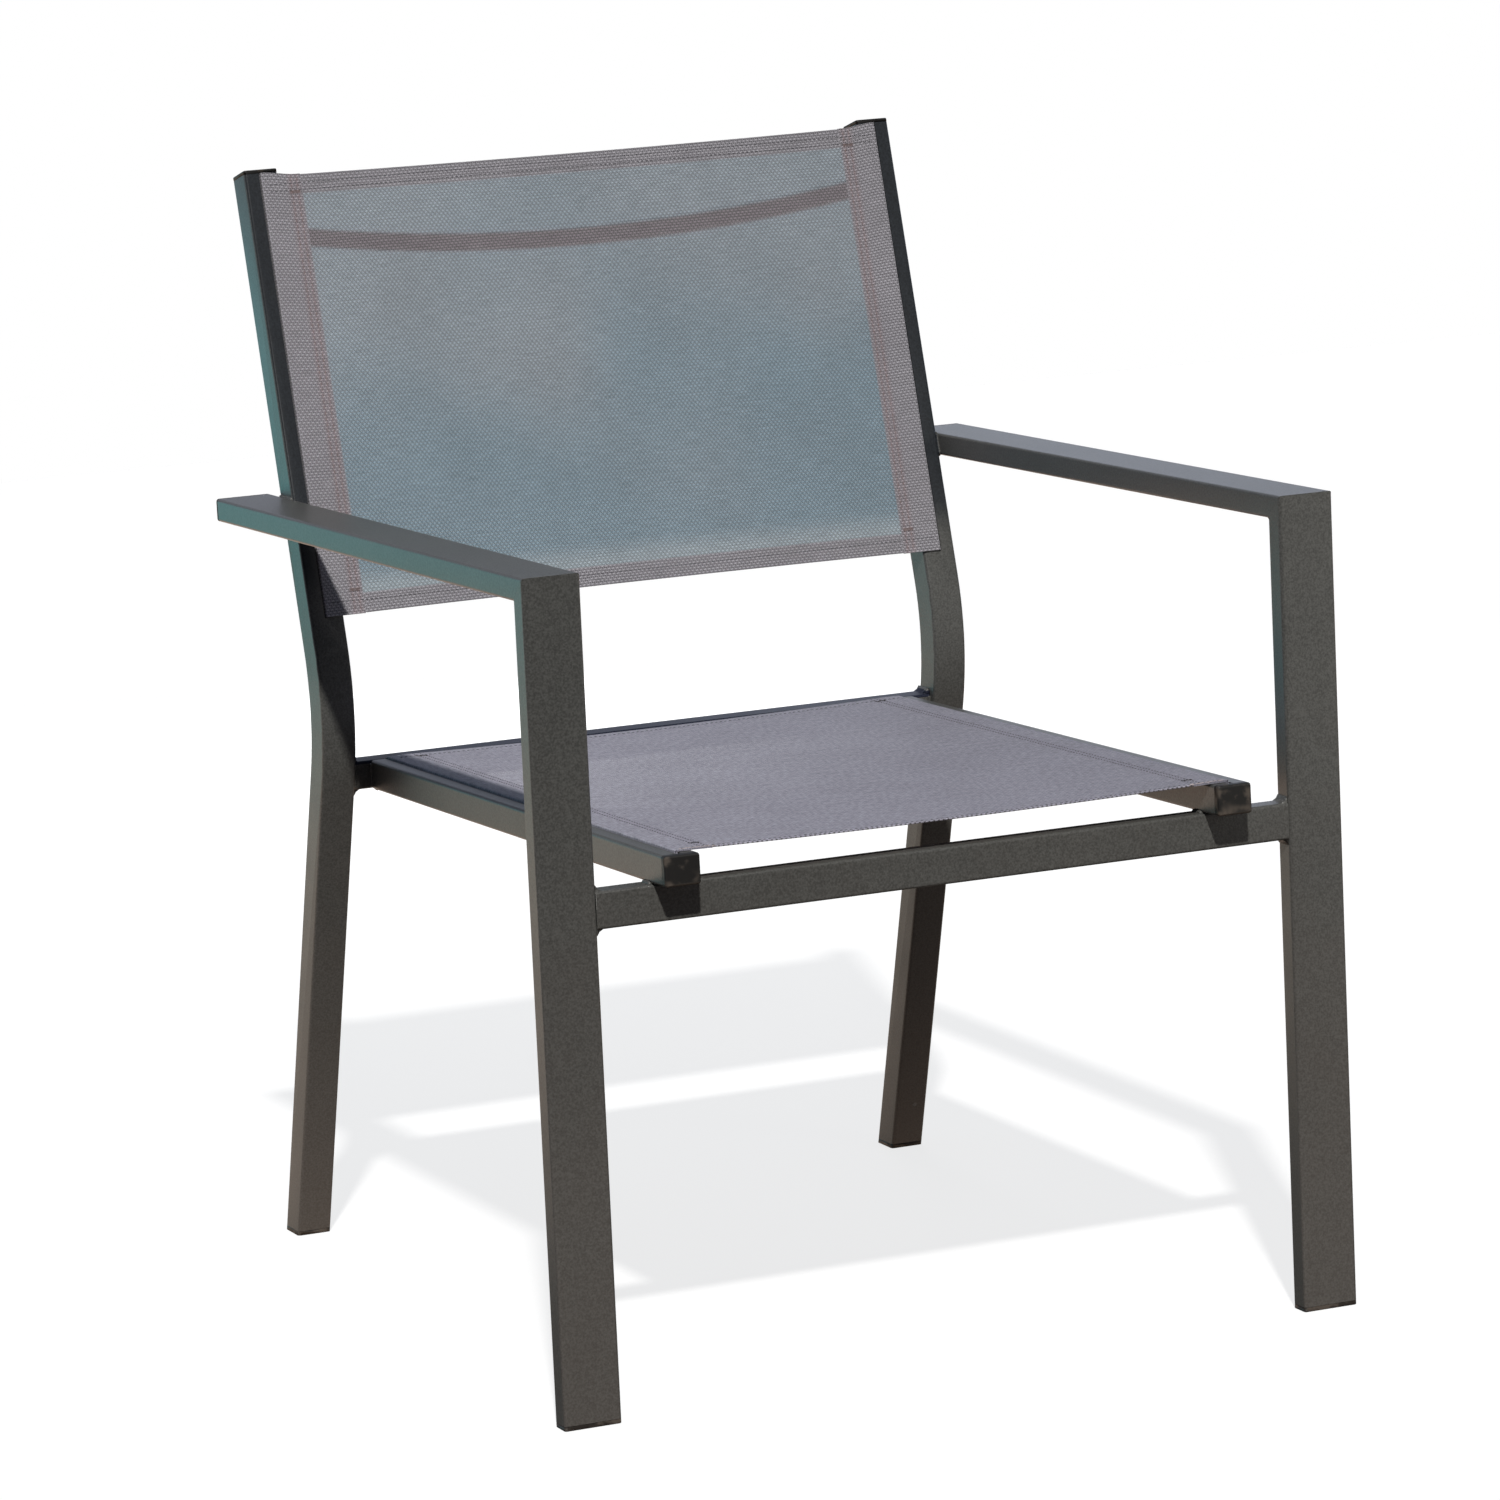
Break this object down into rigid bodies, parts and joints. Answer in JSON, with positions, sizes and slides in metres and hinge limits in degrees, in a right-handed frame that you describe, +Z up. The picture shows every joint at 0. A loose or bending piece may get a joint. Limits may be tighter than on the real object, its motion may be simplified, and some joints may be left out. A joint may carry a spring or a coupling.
{
  "type": "sling patio chair",
  "caption": "Outdoor armchair with a welded tube frame, flat armrests, bent rear posts that carry the back, and mesh slings stretched over the seat and back.",
  "frame": {"origin": "on the floor, at the middle of the footprint's box from the seat rails' front tips to the rear feet", "axes": "+Z up, -Y the way the sitter faces, +X to the right as seen from the front"},
  "size_m": [0.58, 0.6486, 0.7718],
  "materials": {
    "frame_coat": "matte",
    "black_plug": "matte",
    "foot_cap": "matte",
    "piping_rod": "satin",
    "seat_cloth": "matte",
    "back_cloth": "matte"
  },
  "bodies": {
    "root": {"left_front_leg": "frame_coat", "right_front_leg": "frame_coat", "left_armrest": "frame_coat", "right_armrest": "frame_coat", "left_rear_post": "frame_coat", "right_rear_post": "frame_coat", "left_seat_rail": "frame_coat", "right_seat_rail": "frame_coat", "front_crossbar": "frame_coat", "rear_crossbar": "frame_coat", "back_spreader_bar": "frame_coat", "seat_spreader_bar": "frame_coat", "rail_plug_left": "black_plug", "rail_plug_right": "black_plug", "post_plug_left": "black_plug", "post_plug_right": "black_plug", "arm_plug_left": "black_plug", "arm_plug_right": "black_plug", "front_foot_left": "foot_cap", "front_foot_right": "foot_cap", "rear_foot_left": "foot_cap", "rear_foot_right": "foot_cap", "seat_piping_left": "piping_rod", "seat_piping_right": "piping_rod", "back_piping_left": "piping_rod", "back_piping_right": "piping_rod", "seat_sling": "seat_cloth", "back_sling": "back_cloth"}
  },
  "joints": []
}
